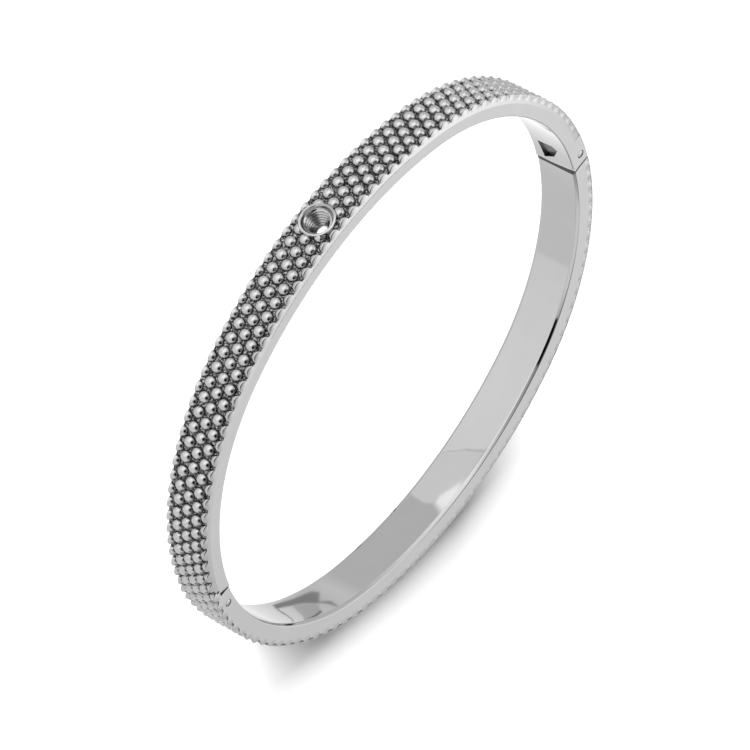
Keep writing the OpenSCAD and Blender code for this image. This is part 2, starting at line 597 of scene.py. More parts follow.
def sliced(shape: Shape, point: Vector, normal: Vector, side: int = 0, ease: float = 0.0) -> None:
    """Cuts away what lies beyond a plane, closes the cut and eases its edges.

    Args:
        shape: the shape that is cut.
        point: a point of the plane.
        normal: the plane's normal, towards what is taken away.
        side: 1 or -1 to cut only where X has that sign, or 0 to cut everywhere.
        ease: width of the eased edge.
    """
    normal = normal.normalized()
    faces = [f for f in shape.faces if side == 0 or f.calc_center_median().x * side > 0]
    edges = {e for f in faces for e in f.edges}
    verts = {v for f in faces for v in f.verts}
    cut = bmesh.ops.bisect_plane(
        shape, geom=[*verts, *edges, *faces], plane_co=point, plane_no=normal,
        dist=1e-9, clear_outer=True)
    rim = [e for e in cut["geom_cut"] if isinstance(e, bmesh.types.BMEdge)]
    filled = bmesh.ops.contextual_create(shape, geom=rim)
    if ease > 0 and filled["faces"]:
        border = list({e for f in filled["faces"] for e in f.edges})
        bmesh.ops.bevel(
            shape, geom=border, offset=ease, offset_type="OFFSET", segments=2, profile=0.5,
            affect="EDGES", clamp_overlap=True)


def turned(
    profile: Profile, place: Matrix, segments: int, loop: bool = False,
    thread: Optional[Callable[[float, float, float], float]] = None,
) -> Shape:
    """Turns a profile about an axis.

    Args:
        profile: radius and height of each ring, in order.
        place: placement whose Z is the axis.
        segments: number of sides.
        loop: True to join the last ring to the first, otherwise both ends are closed flat.
        thread: gives a ring's radius from its plain radius, its height and the angle.

    Returns:
        The closed shape.
    """
    angles = [FULL_TURN * k / segments for k in range(segments)]
    rings = []
    for radius, height in profile:
        reaches = [thread(radius, height, angle) if thread else radius for angle in angles]
        rings.append([
            place @ Vector((reach * math.cos(angle), reach * math.sin(angle), height))
            for angle, reach in zip(angles, reaches)])
    return skinned(rings, loop)


def peg(place: Matrix, radius: float, low: float, high: float, ease: float = 0.0) -> Shape:
    """Makes a round peg with eased ends.

    Args:
        place: placement whose Z is the peg's axis.
        radius: its radius.
        low: height at which it starts, along that axis.
        high: height at which it ends.
        ease: width of the eased edges.

    Returns:
        The closed shape.
    """
    rings = [(radius, low), (radius, high)]
    if ease > 0:
        soft = 0.3 * ease
        rings = [
            (radius - ease, low), (radius - soft, low + soft), (radius, low + ease),
            (radius, high - ease), (radius - soft, high - soft), (radius - ease, high)]
    return turned(rings, place, PEG_SIDES)


def prism(corners: Sequence[Vector], along: Vector) -> Shape:
    """Makes a prism from the corners of one end and the step to the other."""
    return skinned([corners, [corner + along for corner in corners]])


def joined(name: str, *pieces: Piece) -> Piece:
    """Puts the meshes of pieces into a new one, and removes the pieces.

    Args:
        name: the new piece's name.
        *pieces: the pieces.

    Returns:
        The new piece.
    """
    shape = bmesh.new()
    for piece in pieces:
        shape.from_mesh(piece.data)
        bpy.data.objects.remove(piece)
    return placed(name, to_mesh(name, shape, False))


def paint_shade(mesh: bpy.types.Mesh, depth_of: Rule, domain: str) -> None:
    """Writes the painted shade mark that the finish reads, as a darker tone.

    Args:
        mesh: the mesh.
        depth_of: gives the painted shade, 0 to 1, from a place and the surface's normal there.
        domain: FACE to mark the faces, POINT to mark the vertices.
    """
    marks = mesh.attributes.new("recess", "FLOAT", domain)
    if domain == "FACE":
        spots = [(face.center, face.normal) for face in mesh.polygons]
    else:
        spots = [(vertex.co, vertex.normal) for vertex in mesh.vertices]
    for (place, normal), mark in zip(spots, marks.data):
        mark.value = min(max(depth_of(place, normal), 0.0), 1.0)


def dressed(piece: Piece, steel: Steel, half: Half, slot: str, *nodes: str) -> None:
    """Gives a piece its finish and its body, and hides the nodes that it stands for.

    Args:
        piece: the piece.
        steel: its finish.
        half: the half that it rides on.
        slot: the record's material slot; not used.
        *nodes: the nodes that it replaces.
    """
    piece.data.materials.clear()
    piece.data.materials.append(steel.material())
    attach(piece, half.value)
    if nodes:
        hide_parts(*nodes)
    LOG.info("%s: %d faces", piece.name, len(piece.data.polygons))


@dataclass
class Bands:
    """The plain inner bands of the two halves, with the hinge block, its slot and the pin holes."""

    layout: Layout
    inner_round: float = 0.13 * MM
    bevel: tuple = (0.19 * MM, 0.34 * MM)
    bevel_rounds: tuple = (0.12 * MM, 0.30 * MM)
    cut_ease: float = 0.06 * MM
    through: tuple = (-MM, 7 * MM)
    pocket_steps: int = 12
    block_depth: float = 2.56 * MM
    block_round: float = 0.22 * MM
    slot: tuple = (0.4 * MM, 3 * MM, 2.7 * MM)
    slot_top: float = 0.25 * MM
    window: tuple = ((0.2, 1.0), (-2.6, 1.3), (-1.7, 2.8), (-0.13, 3.6), (0.4, 3.0))
    window_x: float = 28 * MM
    window_reach: float = 2.22 * MM
    relief_depth: float = 0.16 * MM
    relief_len: float = 1.9 * MM
    relief_turn: float = math.radians(3.0)
    relief_back: float = -2 * MM
    relief_span: tuple = (-12 * MM, 18 * MM)
    hinge_hole_r: float = 0.485 * MM
    catch_hole_r: float = 0.44 * MM
    seat_hole_r: float = 1.76 * MM
    seat_hole: tuple = (-MM, 3 * MM)
    chamfer: tuple = ((-1.0, 0.5), (0.5, 0.5), (0.36, 0.0), (0.0, -0.28), (-1.0, -1.06))
    neck: tuple = (0.47 * MM, 0.76 * MM, 2.56 * MM)
    neck_root: float = 2.43 * MM
    tongue: tuple = (0.42 * MM, 0.76 * MM, 2.06 * MM)
    tongue_root: float = 2.23 * MM
    mouth: tuple = (0.30 * MM, 1.00 * MM, 2.30 * MM)
    mouth_end: float = -2 * MM
    # painted shade on the bands' cuts, holes and gaps, and the skins that it keeps clear of
    band_shade_level: float = 0.9
    block_shade_level: float = 0.85
    skin: float = 0.16 * MM
    inner_skin: float = 0.17 * MM
    outer_skin: float = 0.1 * MM

    def section(self, depth: float, corner: float, inner: float) -> list[tuple[float, float]]:
        """Gives the section of a plain band.

        Args:
            depth: how thick it is, out from the inner wall.
            corner: rounding of its outer corners.
            inner: rounding of its inner corners.

        Returns:
            The section's depths and heights.
        """
        width = self.layout.band_w
        return rounded((
            (0.0, 0.0, inner), (depth, 0.0, corner), (depth, width, corner), (0.0, width, inner)))

    def pocket(self, side: int, ends: tuple[float, float], box: tuple[float, float, float]) -> Shape:
        """Makes a short curved pocket at a round end, in the middle of the band's width.

        Args:
            side: 1 for the hinge's end, -1 for the clasp's.
            ends: where it starts and ends along Y.
            box: its depth from the inner wall, its size along the depth and across the band.

        Returns:
            The shape to carve with.
        """
        lay = self.layout
        depth, thick, width = box
        low, high = (lay.band_w - width) / 2, (lay.band_w + width) / 2
        first, last = (lay.end_turn(y, depth + thick / 2) for y in ends)
        steps = self.pocket_steps
        turns = [first + (last - first) * k / steps for k in range(steps + 1)]
        if side < 0:
            turns = [math.pi - t for t in turns]
        corners = ((depth, low), (depth + thick, low), (depth + thick, high), (depth, high))
        return swept(lay.oval, corners, turns)

    def cut_clasp(self, shape: Shape, rise: float, tilt: float, way: int) -> None:
        """Cuts a band's clasp end at a tilted plane, above it for a way of 1 and below it for -1."""
        start = Vector((-self.layout.oval.half_length, rise, 0))
        sliced(shape, start, Vector((way * math.sin(tilt), way * math.cos(tilt), 0)), -1, self.cut_ease)

    def upper(self) -> Piece:
        """Builds the upper half's band with the hinge block.

        Returns:
            The band.
        """
        lay = self.layout
        up = Vector((0, 1, 0))
        top = Vector((0, lay.block_top, 0))
        turns = lay.turns(Half.UPPER)
        shape = swept(lay.oval, self.section(lay.wall, 0.0, self.inner_round), turns)
        sliced(shape, top, -up, 1)
        self.cut_clasp(shape, lay.clasp_rise + lay.clasp_gap, lay.upper_tilt, -1)
        band = solid("upper_main", shape)
        carved(band, peg(lay.at_seat, self.seat_hole_r, *self.seat_hole))
        carved(band, self.pocket(-1, (MM, lay.clasp_rise + self.tongue_root), self.tongue))
        paint_shade(band.data, self.recess(lay.wall, self.band_shade_level), "FACE")

        shape = swept(lay.oval, self.section(self.block_depth, self.block_round, self.inner_round), turns)
        sliced(shape, top, up)
        bmesh.ops.delete(shape, geom=[v for v in shape.verts if v.co.x < 0], context="VERTS")
        sliced(shape, Vector((0, lay.upper_end, 0)), -up, 0, self.cut_ease)
        block = solid("hinge_block", shape)
        self.carve_block(block)
        paint_shade(block.data, self.recess(self.block_depth, self.block_shade_level), "FACE")
        return joined("upper_band_steel", band, block)

    def recess(self, outer: float, level: float) -> Rule:
        """Makes the rule that lays painted shade on a band's cuts, holes and gaps.

        Args:
            outer: how thick the band is.
            level: how dark the painted shade is.

        Returns:
            The rule.
        """
        oval, width, skin = self.layout.oval, self.layout.band_w, self.skin

        def mark(place: Vector, normal: Vector) -> float:
            """Gives one face of the band its painted shade.

            Args:
                place: middle of the face.
                normal: the face's normal.

            Returns:
                The painted shade.
            """
            depth = oval.depth(place)
            facing = normal.dot(oval.outward(place))
            if facing < -0.8 and depth < self.inner_skin or normal.y > 0.9 and place.y > 0:
                return 0.0
            inside = skin < depth < outer - self.outer_skin and skin < place.z < width - skin
            across = abs(facing) < 0.78 and abs(normal.z) < 0.6
            return level if inside or across else 0.0

        return mark

    def carve_block(self, block: Piece) -> None:
        """Cuts the slot, the window, the lead-in and the pin's hole into the hinge block.

        Args:
            block: the block.
        """
        lay = self.layout
        end = lay.upper_end
        carved(block, self.pocket(1, (end - MM, self.slot_top), self.slot))
        corners = [Vector((self.window_x, y * MM, z * MM)) for y, z in self.window]
        carved(block, prism(corners, Vector((self.window_reach, 0, 0))))
        place = Matrix.Translation((lay.edge_x(end) + self.relief_depth, end, lay.band_w))
        place @= Matrix.Rotation(self.relief_turn, 4, "Y")
        place @= Matrix.Rotation(math.atan2(self.relief_depth, self.relief_len), 4, "Z")
        (back, reach), (low, tall) = (self.relief_back, self.relief_len), self.relief_span
        foot = [
            place @ Vector((x, y, low))
            for x, y in ((back, -reach), (0, -reach), (0, reach), (back, reach))]
        carved(block, prism(foot, place.to_3x3() @ Vector((0, 0, tall))))
        carved(block, peg(lay.hinge, self.hinge_hole_r, *self.through))

    def lower(self) -> Piece:
        """Builds the lower half's band.

        Returns:
            The band.
        """
        lay = self.layout
        (deep, tall), (sharp, soft) = self.bevel, self.bevel_rounds
        width, end = lay.band_w, lay.lower_end
        section = rounded((
            (deep, 0.0, sharp), (lay.wall, 0.0, 0.0), (lay.wall, width, 0.0), (deep, width, sharp),
            (0.0, width - tall, soft), (0.0, tall, soft)))
        shape = swept(lay.oval, section, lay.turns(Half.LOWER))
        sliced(shape, Vector((0, end, 0)), Vector((0, 1, 0)), 1, self.cut_ease)
        self.cut_clasp(shape, lay.clasp_rise, lay.lower_tilt, 1)
        piece = solid("lower_band_steel", shape)
        wall_x = lay.edge_x(end)
        low, high = self.through
        foot = [Vector((wall_x + x * MM, end + y * MM, low)) for x, y in self.chamfer]
        carved(piece, prism(foot, Vector((0, 0, high - low))))
        carved(piece, self.pocket(1, (end - self.neck_root, end + MM), self.neck))
        carved(piece, self.pocket(-1, (self.mouth_end, lay.clasp_rise + MM), self.mouth))
        carved(piece, peg(lay.catch, self.catch_hole_r, *self.through))
        paint_shade(piece.data, self.recess(lay.wall, self.band_shade_level), "FACE")
        return piece

    def build(self) -> None:
        """Builds and dresses both bands."""
        dressed(self.upper(), BAND_STEEL, Half.UPPER, "upper_band", "upper_band")
        dressed(self.lower(), BAND_STEEL, Half.LOWER, "lower_band", "lower_band")


@dataclass
class Studding:
    """The studded strips: their grounds, and five rows of round studs, the outer two cut flat."""

    layout: Layout
    stud_r: float = 0.73 * MM
    stud_depth: float = 1.86 * MM
    per_row: int = 114
    row_step: float = 1.235 * MM
    row_shift: float = 0.43
    outer_row: float = 2.0
    side_lean: float = math.radians(8)
    strip_round: float = 0.08 * MM
    seam: float = 0.10 * MM
    seam_ease: float = 0.03 * MM
    face_round: float = 0.12 * MM
    lip_w: float = 0.3 * MM
    lip: float = 2.50 * MM
    lip_round: float = 0.02 * MM
    least_lip: float = 0.04
    # the groove ticks on the strips' sides, and below, how their painted shade fades along X, least and
    # most
    groove: tuple = (2.2 * MM, 2.43 * MM, 0.03 * MM)
    groove_fade: tuple = (-6.0 * MM, -18.0 * MM)
    groove_shade_levels: tuple = (0.12, 0.7)
    upper_fade: tuple = (66.0, 22.0)
    lower_fade: tuple = (-167.0, -154.0)
    # the sunk line beside the band: its width, its reach along X and its painted shade
    line: tuple = (0.06 * MM, 12.0 * MM, 0.7)
    seat_spare: float = 0.35 * MM
    seat_gaps: tuple = (0.02 * MM, 0.01 * MM)
    end_spares: tuple = (0.35 * MM, -0.45 * MM)
    rings: tuple = (0, 18, 37, 56, 74)
    sides: tuple = (14, 16)
    path_points: int = 1440
    lead: float = 0.165
    wave: float = 0.154
    wave_start: float = -0.124
    proud: float = 0.004 * MM
    # painted shade between the studs and at their feet, fading out over the foot's height
    ground_shade_level: float = 0.84
    foot: float = 0.36 * MM
    side_w: float = 0.25 * MM
    sunk_least: float = 0.012 * MM
    flat_from: float = 2.4 * MM

    def clasp_plane(self) -> tuple[Vector, Vector]:
        """Gives a point and the upward normal of the slanted seam beside the clasp.

        Returns:
            The point and the normal.
        """
        lay = self.layout
        slope = Vector((0, lay.clasp_high - lay.clasp_low, lay.band_w))
        return Vector((0, lay.clasp_low, 0)), Vector((0, slope.z, -slope.y)).normalized()

    def ground(self, half: Half) -> Piece:
        """Builds the strip that a half's studs stand on.

        Args:
            half: the half.

        Returns:
            The strip.
        """
        lay = self.layout
        width, root = lay.band_w, lay.wall
        slope = math.tan(self.lean(half))
        first, last, sunk = self.groove
        foot = (self.lip - root) * slope + self.lip_w
        side = [
            (root, 0.0, 0.0), (root + self.line[0], self.line[0] * slope, 0.0),
            (first, (first - root) * slope, 0.0), (first + sunk / 2, (first - root) * slope + sunk, 0.0),
            (last, (last - root) * slope + sunk, 0.0), (last, (last - root) * slope, 0.0),
            (self.lip, (self.lip - root) * slope, self.lip_round), (self.lip, foot, self.strip_round),
            (lay.ground, foot, 0.0)]
        section = rounded(side + [(d, width - z, r) for d, z, r in reversed(side)], 2)
        shape = swept(lay.oval, section, lay.turns(half))
        self.fade_lip(shape, half)
        point, normal = self.clasp_plane()
        way, height = (1, lay.block_top) if half is Half.UPPER else (-1, lay.lower_end)
        sliced(shape, point + normal * self.seam * way, normal * -way, -1, self.seam_ease)
        sliced(shape, Vector((0, height, 0)), Vector((0, -way, 0)), 1)
        piece = solid("ground", shape)
        if half is Half.UPPER:
            carved(piece, peg(lay.at_seat, lay.rim_r + self.seat_gaps[0], MM, 4 * MM))
        return piece

    def lean(self, half: Half) -> float:
        """Gives the lean, in radians, of a half's strip sides, which are upright on the lower half."""
        return self.side_lean if half is Half.UPPER else 0.0

    def fade_lip(self, shape: Shape, half: Half) -> None:
        """Lets a strip's lip run out, towards the seat or towards the clasp.

        Args:
            shape: the strip.
            half: its half.
        """
        oval, ground = self.layout.oval, self.layout.ground
        low, high = self.upper_fade if half is Half.UPPER else self.lower_fade
        slope = math.tan(self.lean(half))
        for vertex in shape.verts:
            away = oval.outward(vertex.co)
            turn = math.degrees(math.atan2(away.y, away.x))
            turn = turn - 360 if turn > 90 and half is Half.LOWER else turn
            share = min(max((turn - low) / (high - low), self.least_lip), 1.0)
            depth = oval.depth(vertex.co)
            if depth > ground:
                back = (depth - ground) * (1.0 - share)
                vertex.co -= away * back
                vertex.co.z += math.copysign(back * slope, vertex.co.z - self.layout.band_w / 2)

    def crown(self, shape: Shape, face: bmesh.types.BMFace, tip: Vector) -> None:
        """Draws a face of a stud out to a tip."""
        bmesh.ops.poke(shape, faces=[face])["verts"][0].co = tip

    def stud(self) -> Piece:
        """Builds one whole stud: a half ball round its own axis Z.

        Returns:
            The stud.
        """
        rings = [
            (self.stud_r * math.cos(a), self.stud_r * math.sin(a)) for a in map(math.radians, self.rings)]
        shape = turned(rings, Matrix.Identity(4), self.sides[0])
        floor, *_, top = sorted(shape.faces, key=lambda f: f.calc_center_median().z)
        self.crown(shape, top, Vector((0, 0, self.stud_r)))
        shape.faces.remove(floor)
        return solid("stud", shape)

    def edge_stud(self, half: Half) -> Piece:
        """Builds one stud of an edge row, whose flat cut faces +X and leans as the strip's sides do.

        Args:
            half: the half that it is for.

        Returns:
            The stud.
        """
        lay = self.layout
        lean = self.lean(half)
        drop = (self.stud_depth - lay.wall) * math.tan(lean)
        face = (lay.band_w / 2 - self.outer_row * self.row_step - drop) * math.cos(lean) + self.proud
        soft = self.face_round
        middle_h = face - soft
        middle_r = math.sqrt((self.stud_r - soft) ** 2 - middle_h ** 2)
        low = math.atan2(middle_h, middle_r)
        rings = []
        for k in range(5):
            angle = math.pi / 2 + (low - math.pi / 2) * k / 4
            rings.append((middle_r + soft * math.cos(angle), middle_h + soft * math.sin(angle)))
        for angle in (-math.radians(d) for d in (38, *self.rings[3:])):
            rings.append((self.stud_r * math.cos(angle), self.stud_r * math.sin(angle)))
        axis = Vector((math.cos(lean), 0, math.sin(lean)))
        side = Vector((0, 1, 0))
        place = Matrix((side.cross(axis), side, axis)).transposed().to_4x4()
        shape = turned(rings, place, self.sides[1])
        ends = sorted(shape.faces, key=lambda f: len(f.verts))[-2:]
        bottom = min(ends, key=lambda f: f.calc_center_median().dot(axis))
        self.crown(shape, bottom, axis * -self.stud_r)
        bmesh.ops.recalc_face_normals(shape, faces=shape.faces)
        bmesh.ops.bisect_plane(
            shape, geom=[*shape.verts, *shape.edges, *shape.faces], plane_co=Vector((0, 0, 0)),
            plane_no=Vector((0, 0, -1)), dist=1e-9, clear_outer=True)
        return placed("edge_stud", smoothed(to_mesh("edge_stud", shape, False), 60.0))

    def tree(self, values: dict[str, Any]) -> bpy.types.NodeTree:
        """Builds the geometry tree that lays the studs along the path, once.

        Args:
            values: the tree's inputs by name, for the sockets' names and kinds.

        Returns:
            The tree.
        """
        found = bpy.data.node_groups.get("stud_rows")
        if found:
            return found
        group = bpy.data.node_groups.new("stud_rows", "GeometryNodeTree")
        bench = Bench(group)
        bench.sockets("Geometry", "Path")
        for name, value in values.items():
            bench.sockets(SOCKET_KINDS[type(value)], name)
        bench.sockets("Geometry", "Studs", out=True)
        calc = bench.math
        inlet = bench.node("NodeGroupInput").outputs
        count = inlet["Studs per row"]
        index = bench.node("GeometryNodeInputIndex").outputs[0]
        row = calc("SUBTRACT", calc("FLOOR", calc("DIVIDE", index, count)), self.outer_row)
        shifted = calc("MULTIPLY_ADD", row, inlet["Row shift"], calc("MODULO", index, count))
        even = calc("DIVIDE", shifted, count)
        phase = calc("MULTIPLY", calc("SUBTRACT", even, inlet["Wave start"]), 2 * FULL_TURN)
        sway = calc("MULTIPLY_ADD", calc("COSINE", phase), inlet["Wave"], inlet["Lead"])
        factor = calc("FRACT", calc("ADD", even, calc("DIVIDE", sway, count)))
        curve = bench.node("GeometryNodeMeshToCurve", {0: inlet["Path"]}).outputs[0]
        sample = bench.node(
            "GeometryNodeSampleCurve", {"Curves": curve, "Factor": factor}, mode="FACTOR").outputs
        lift = bench.node("ShaderNodeCombineXYZ", {"Z": calc("MULTIPLY", row, inlet["Row step"])})
        spot = bench.vector("ADD", sample["Position"], lift.outputs[0])
        whole = calc("MULTIPLY", count, 2 * self.outer_row + 1)
        points = bench.node("GeometryNodePoints", {"Count": whole, "Position": spot}).outputs[0]
        outward = bench.vector("CROSS_PRODUCT", sample["Tangent"], (0.0, 0.0, 1.0))
        way = bench.node("ShaderNodeCombineXYZ", {"Z": calc("SUBTRACT", calc("MULTIPLY", row, 2.0), 0.5)})
        turn = bench.node(
            "FunctionNodeAxesToRotation", {0: outward, 1: way.outputs[0]},
            primary_axis="Z", secondary_axis="X").outputs[0]

        here = bench.node("GeometryNodeInputPosition").outputs[0]
        part = bench.node("ShaderNodeSeparateXYZ", {0: here}).outputs
        span = calc("SUBTRACT", inlet["Clasp high"], inlet["Clasp low"])
        share = calc("DIVIDE", part["Z"], inlet["Band width"])
        clasp = calc("MULTIPLY_ADD", share, span, inlet["Clasp low"])
        limit = bench.mix(calc("GREATER_THAN", part["X"], 0.0), clasp, inlet["Hinge limit"])
        over = calc("MULTIPLY", calc("SUBTRACT", part["Y"], limit), inlet["Side"])
        from_seat = bench.vector("DISTANCE", here, inlet["Seat"])
        off_seat = calc("GREATER_THAN", from_seat, inlet["Seat clearance"])
        picked = calc("MULTIPLY", calc("GREATER_THAN", over, 0.0), off_seat)
        outer = calc("GREATER_THAN", calc("ABSOLUTE", row), self.outer_row - 0.5)
        both = bench.node("GeometryNodeJoinGeometry")
        for stud, rows in (("Stud", calc("SUBTRACT", 1.0, outer)), ("Edge stud", outer)):
            shape = bench.node("GeometryNodeObjectInfo", {"Object": inlet[stud]}).outputs["Geometry"]
            batch = bench.node("GeometryNodeInstanceOnPoints", {
                "Points": points, "Instance": shape, "Rotation": turn,
                "Selection": calc("MULTIPLY", picked, rows)})
            group.links.new(batch.outputs[0], both.inputs[0])
        real = bench.node("GeometryNodeRealizeInstances", {0: both.outputs[0]}).outputs[0]
        steel = bench.node("GeometryNodeSetMaterial", {"Geometry": real, "Material": inlet["Finish"]})
        bench.node("NodeGroupOutput", {0: steel.outputs[0]})
        return group

    def path(self) -> bpy.types.Mesh:
        """Builds the closed path of the studs' centres, from the top round towards the clasp.

        Returns:
            The path's mesh, of edges alone.
        """
        lay, count = self.layout, self.path_points
        points = [
            lay.oval.point(math.pi / 2 + FULL_TURN * k / count, self.stud_depth, lay.band_w / 2)
            for k in range(count)]
        mesh = bpy.data.meshes.new("stud_path")
        mesh.from_pydata(points, [(k, (k + 1) % count) for k in range(count)], [])
        return mesh

    def rows(self, half: Half) -> Piece:
        """Lays a half's studs and pushes back those that the seat's rim cuts.

        Args:
            half: the half.

        Returns:
            All its studs in one piece.
        """
        lay = self.layout
        piece = placed("rows", self.path())
        studs = self.stud(), self.edge_stud(half)
        side, limit = 1.0, lay.block_top + self.end_spares[0]
        if half is Half.LOWER:
            side, limit = -1.0, lay.lower_end + self.end_spares[1]
        values = {
            "Stud": studs[0], "Edge stud": studs[1], "Studs per row": self.per_row,
            "Row shift": self.row_shift, "Row step": self.row_step, "Side": side, "Hinge limit": limit,
            "Clasp low": lay.clasp_low, "Clasp high": lay.clasp_high, "Band width": lay.band_w,
            "Seat": tuple(lay.oval.point(lay.seat_turn, self.stud_depth, lay.band_w / 2)),
            "Seat clearance": lay.rim_r - self.seat_spare,
            "Lead": self.lead, "Wave": self.wave, "Wave start": self.wave_start,
            "Finish": STUD_STEEL.material(),
        }
        layer = piece.modifiers.new("rows", "NODES")
        layer.node_group = self.tree(values)
        for item in layer.node_group.interface.items_tree:
            if item.in_out == "INPUT" and item.name in values:
                layer[item.identifier] = values[item.name]
        applied(piece)
        for stud in studs:
            bpy.data.objects.remove(stud)
        if half is Half.UPPER:
            self.clear_seat(piece.data)
        return piece

    def clear_seat(self, mesh: bpy.types.Mesh) -> None:
        """Pushes the studs' points that lie within the seat's rim out to the rim.

        Args:
            mesh: the studs.
        """
        lay = self.layout
        place = lay.at_seat
        back = place.inverted()
        reach = lay.rim_r + self.seat_gaps[1]
        for vertex in mesh.vertices:
            local = back @ vertex.co
            radius = math.hypot(local.x, local.y)
            if local.z > 0 and radius < reach:
                scale = reach / max(radius, 1e-9)
                vertex.co = place @ Vector((local.x * scale, local.y * scale, local.z))

    def ground_painted_shade(self, place: Vector, normal: Vector) -> float:
        """Lays painted shade on the strip's ground between the studs, on its seams and in the sunk lines of
        its sides.

        Args:
            place: middle of a face.
            normal: the face's normal.

        Returns:
            The painted shade.
        """
        lay = self.layout
        facing, upright = normal.dot(lay.oval.outward(place)), abs(normal.z)
        depth, middle = lay.oval.depth(place), lay.band_w / 2
        line_w, line_x, line_shade_level = self.line
        if place.x < 0 and abs(facing) < 0.3 and abs(normal.y) > 0.6 and upright < 0.7:
            return self.ground_shade_level
        off = abs(place.z - middle)
        if off > middle - self.side_w:
            slope = math.tan(self.lean(Half.UPPER if place.y > 0 else Half.LOWER))
            level = middle - (depth - lay.wall) * slope - self.sunk_least
            if self.groove[0] < depth < self.groove[1] and upright > 0.5 and off < level:
                (near, far), (least, most) = self.groove_fade, self.groove_shade_levels
                share = min(max((place.x - near) / (far - near), 0.0), 1.0) if place.y < 0 else 0.0
                return least + (most - least) * share
            if place.y > 0 and abs(place.x) < line_x and depth < lay.wall + line_w:
                return line_shade_level
        low = depth < lay.ground + 0.02 * MM
        return self.ground_shade_level if low and (facing > 0.8 or upright < 0.3) else 0.0

    def stud_painted_shade(self, place: Vector, normal: Vector) -> float:
        """Lays painted shade on the foot of a stud, darker towards the ground, and none on the flat cut of
        an edge row's.

        Args:
            place: a point of a stud.
            normal: the surface's normal there.

        Returns:
            The painted shade.
        """
        high = (self.layout.oval.depth(place) - self.layout.ground) / self.foot
        flat = abs(place.z - self.layout.band_w / 2) > self.flat_from and abs(normal.z) > 0.8
        return 0.0 if flat else self.ground_shade_level * (1.0 - high)

    def build(self) -> None:
        """Builds and dresses both halves' strips and studs."""
        for half, node in ((Half.UPPER, "upper_studs"), (Half.LOWER, "lower_studs")):
            ground = self.ground(half)
            ground.name = f"{node}_ground"
            paint_shade(ground.data, self.ground_painted_shade, "FACE")
            dressed(ground, STRIP_STEEL, half, node)
            studs = self.rows(half)
            studs.name = f"{node}_rows"
            paint_shade(studs.data, self.stud_painted_shade, "POINT")
            dressed(studs, STUD_STEEL, half, node, node)


@dataclass
class Seat:
    """The empty threaded seat in the middle of the upper half."""

    layout: Layout
    thread_r: float = 1.25 * MM
    hole_r: float = 0.65 * MM
    collar_r: float = 1.72 * MM
    collar_top: float = 1.53 * MM
    foot: float = 0.06 * MM
    edge: float = 0.05 * MM
    rim_top: float = 2.6 * MM
    rim_w: float = 0.24 * MM
    bowl: tuple = ((0.05, 0.06), (0.08, 0.18), (0.13, 0.34), (0.21, 0.48))
    bowl_foot: tuple = ((0.19, 0.05), (0.14, 0.0))
    bowl_depth: float = 2.0 * MM
    pitch: float = 0.34 * MM
    tooth: float = 0.15 * MM
    start: float = 0.12 * MM
    plain: float = 0.1 * MM
    steps: int = 96
    # painted shade in the thread's grooves: its gain and its offset
    groove_shade_levels: tuple = (1.3, 0.45)

    def outline(self) -> list[tuple[float, float]]:
        """Lists the section's points, round the collar, the rim and the bore.

        Returns:
            The radius and the height of each point.
        """
        rim, top, foot, edge = self.layout.rim_r, self.rim_top, self.foot, self.edge
        inner, collar = rim - self.rim_w, self.collar_r
        points = [
            (self.hole_r, foot), (collar - edge, foot), (collar, foot + edge), (collar, self.collar_top),
            (rim, self.collar_top), (rim, top - edge), (rim - 0.3 * edge, top - 0.3 * edge),
            (rim - edge, top), (inner, top)]
        points += [(inner - r * MM, top - z * MM) for r, z in self.bowl]
        points += [(self.thread_r + r * MM, self.bowl_depth + z * MM) for r, z in self.bowl_foot]
        high = self.bowl_depth - 0.02 * MM
        heights = [high + (self.start - high) * k / self.steps for k in range(self.steps + 1)]
        return points + [(self.crest(z), z) for z in heights]

    def crest(self, height: float) -> float:
        """Gives the radius of the thread's crests, which narrows towards the inner wall."""
        return self.hole_r + (self.thread_r - self.hole_r) * min(height / self.bowl_depth, 1.0)

    def bore(self, radius: float, height: float, angle: float) -> float:
        """Cuts the thread into the bore's rings.

        Args:
            radius: a ring's plain radius.
            height: its height.
            angle: an angle round the axis.

        Returns:
            The radius there.
        """
        if abs(radius - self.crest(height)) > 1e-9 or not self.plain < height < self.bowl_depth:
            return radius
        wave = (height / self.pitch - angle / FULL_TURN) % 1.0
        return radius + self.tooth * (1 - abs(2 * wave - 1))

    def groove(self, place: Vector, _: Vector) -> float:
        """Lays painted shade in the thread's grooves, darker deeper in each groove.

        Args:
            place: middle of a face.
            _: its normal; not used.

        Returns:
            The painted shade.
        """
        local = self.layout.at_seat.inverted() @ place
        if not self.plain < local.z < self.bowl_depth - 0.01 * MM:
            return 0.0
        gain, least = self.groove_shade_levels
        return gain * (math.hypot(local.x, local.y) - self.crest(local.z)) / self.tooth - least

    def build(self) -> None:
        """Builds and dresses the seat."""
        shape = turned(self.outline(), self.layout.at_seat, self.steps, True, self.bore)
        piece = solid("screw_seat_steel", shape)
        paint_shade(piece.data, self.groove, "FACE")
        dressed(piece, SEAT_STEEL, Half.UPPER, "screw_seat", "screw_seat")


